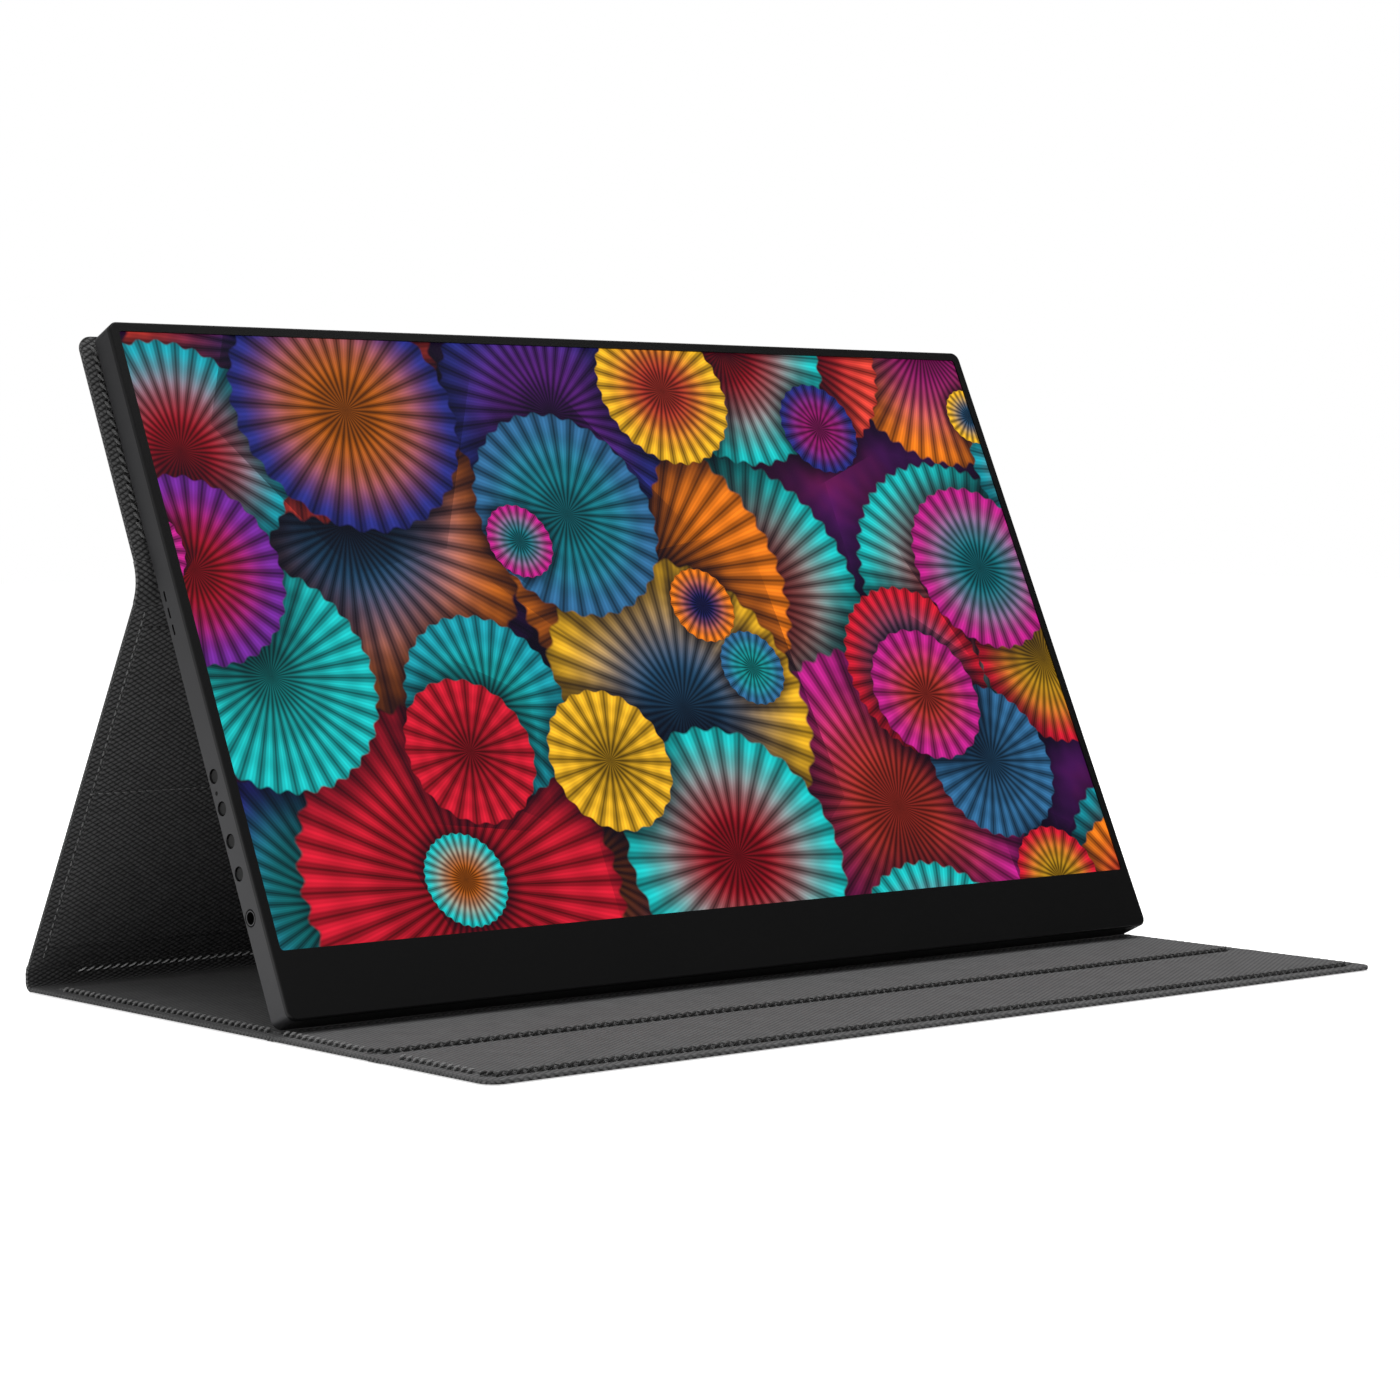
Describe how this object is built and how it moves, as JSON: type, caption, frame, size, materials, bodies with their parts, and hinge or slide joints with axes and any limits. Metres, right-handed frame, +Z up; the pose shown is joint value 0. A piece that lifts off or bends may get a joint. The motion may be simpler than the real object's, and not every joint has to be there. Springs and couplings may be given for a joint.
{
  "type": "portable monitor",
  "caption": "Slim flat-screen portable monitor leaning on a folding fabric cover that forms a tent stand, with side keys, sockets and hinged front flaps.",
  "frame": {"origin": "on the table, midway along the overall width and depth", "axes": "+X to the right seen from the front, the screen faces -Y, +Z up"},
  "size_m": [0.357, 0.2328, 0.202],
  "materials": {
    "anodised_shell": "satin anodised, dark grey",
    "bezel_plastic": "fine matte, black",
    "screen_glass": "anti-glare coated",
    "optical_film": "clear",
    "sheet_steel": "plated",
    "circuit_board": "coated",
    "black_plastic": "moulded, black",
    "ribbon_film": "flexible film",
    "clear_plastic": "clear",
    "cover_cloth": "coarse weave, black",
    "lining_cloth": "fine ribbed weave, grey",
    "fibre_board": "raw"
  },
  "bodies": {
    "base": {"base_skin": "cover_cloth", "base_board": "fibre_board", "base_lining": "lining_cloth"},
    "spine": {"spine_strip": "cover_cloth", "rear_fold": "cover_cloth"},
    "prop": {"prop_skin": "cover_cloth", "prop_board": "fibre_board", "prop_lining": "cover_cloth", "spine_fold": "cover_cloth", "top_fold": "cover_cloth"},
    "display": {"rear_housing": "anodised_shell", "front_bezel": "bezel_plastic", "lcd_panel": "screen_glass", "diffuser_sheet": "optical_film", "light_guide": "optical_film", "reflector_sheet": "optical_film", "backlight_tray": "sheet_steel", "light_bar": "circuit_board", "main_board": "circuit_board", "data_sockets": "sheet_steel", "video_socket": "sheet_steel", "side_board": "circuit_board", "side_switches": "black_plastic", "led_light_pipe": "clear_plastic", "headphone_jack": "black_plastic", "left_speaker": "black_plastic", "right_speaker": "black_plastic", "timing_board": "circuit_board", "panel_ribbon": "ribbon_film", "side_ribbon": "ribbon_film", "board_screws": "sheet_steel", "housing_magnets": "sheet_steel", "upper_skin": "cover_cloth", "upper_board": "fibre_board", "upper_lining": "lining_cloth", "cover_magnets": "sheet_steel"},
    "mid_flap": {"mid_flap_skin": "cover_cloth", "mid_flap_board": "fibre_board", "mid_flap_lining": "lining_cloth", "groove_fold": "cover_cloth"},
    "front_flap": {"front_flap_skin": "cover_cloth", "front_flap_board": "fibre_board", "front_flap_lining": "lining_cloth", "front_fold": "cover_cloth"},
    "power_key": {"power_key": "black_plastic"},
    "menu_key": {"menu_key": "black_plastic"},
    "up_key": {"up_key": "black_plastic"},
    "down_key": {"down_key": "black_plastic"}
  },
  "joints": [
    {"name": "spine_hinge", "type": "hinge", "parent": "base", "child": "spine", "pos_m": [0, 0.11635, 0], "axis": [-1, 0, 0], "range_deg": [0, 87], "deforming": ["rear_fold"]},
    {"name": "stand_hinge", "type": "hinge", "parent": "spine", "child": "prop", "pos_m": [0, 0.11635, 0.0064], "axis": [-1, 0, 0], "range_deg": [-12.5, 26], "deforming": ["spine_fold"]},
    {"name": "display_hinge", "type": "hinge", "parent": "prop", "child": "display", "pos_m": [0, 0.05034, 0.12586], "axis": [-1, 0, 0], "range_deg": [-53, 25.5], "deforming": ["top_fold"]},
    {"name": "groove_hinge", "type": "hinge", "parent": "base", "child": "mid_flap", "pos_m": [0, -0.01605, 0], "axis": [-1, 0, 0], "range_deg": [-90, 30], "deforming": ["groove_fold"]},
    {"name": "front_hinge", "type": "hinge", "parent": "mid_flap", "child": "front_flap", "pos_m": [0, -0.0656, 0], "axis": [-1, 0, 0], "range_deg": [-90, 120], "deforming": ["front_fold"]},
    {"name": "power_key_press", "type": "slide", "parent": "display", "child": "power_key", "axis": [1, 0, 0], "range_m": [0, 0.0004], "stiffness_N_per_m": 1500},
    {"name": "menu_key_press", "type": "slide", "parent": "display", "child": "menu_key", "axis": [1, 0, 0], "range_m": [0, 0.0004], "stiffness_N_per_m": 1500},
    {"name": "up_key_press", "type": "slide", "parent": "display", "child": "up_key", "axis": [1, 0, 0], "range_m": [0, 0.0004], "stiffness_N_per_m": 1500},
    {"name": "down_key_press", "type": "slide", "parent": "display", "child": "down_key", "axis": [1, 0, 0], "range_m": [0, 0.0004], "stiffness_N_per_m": 1500}
  ],
  "couplings": [
    {"joint": "stand_hinge", "follows": "display_hinge", "ratio": -0.48787}
  ]
}
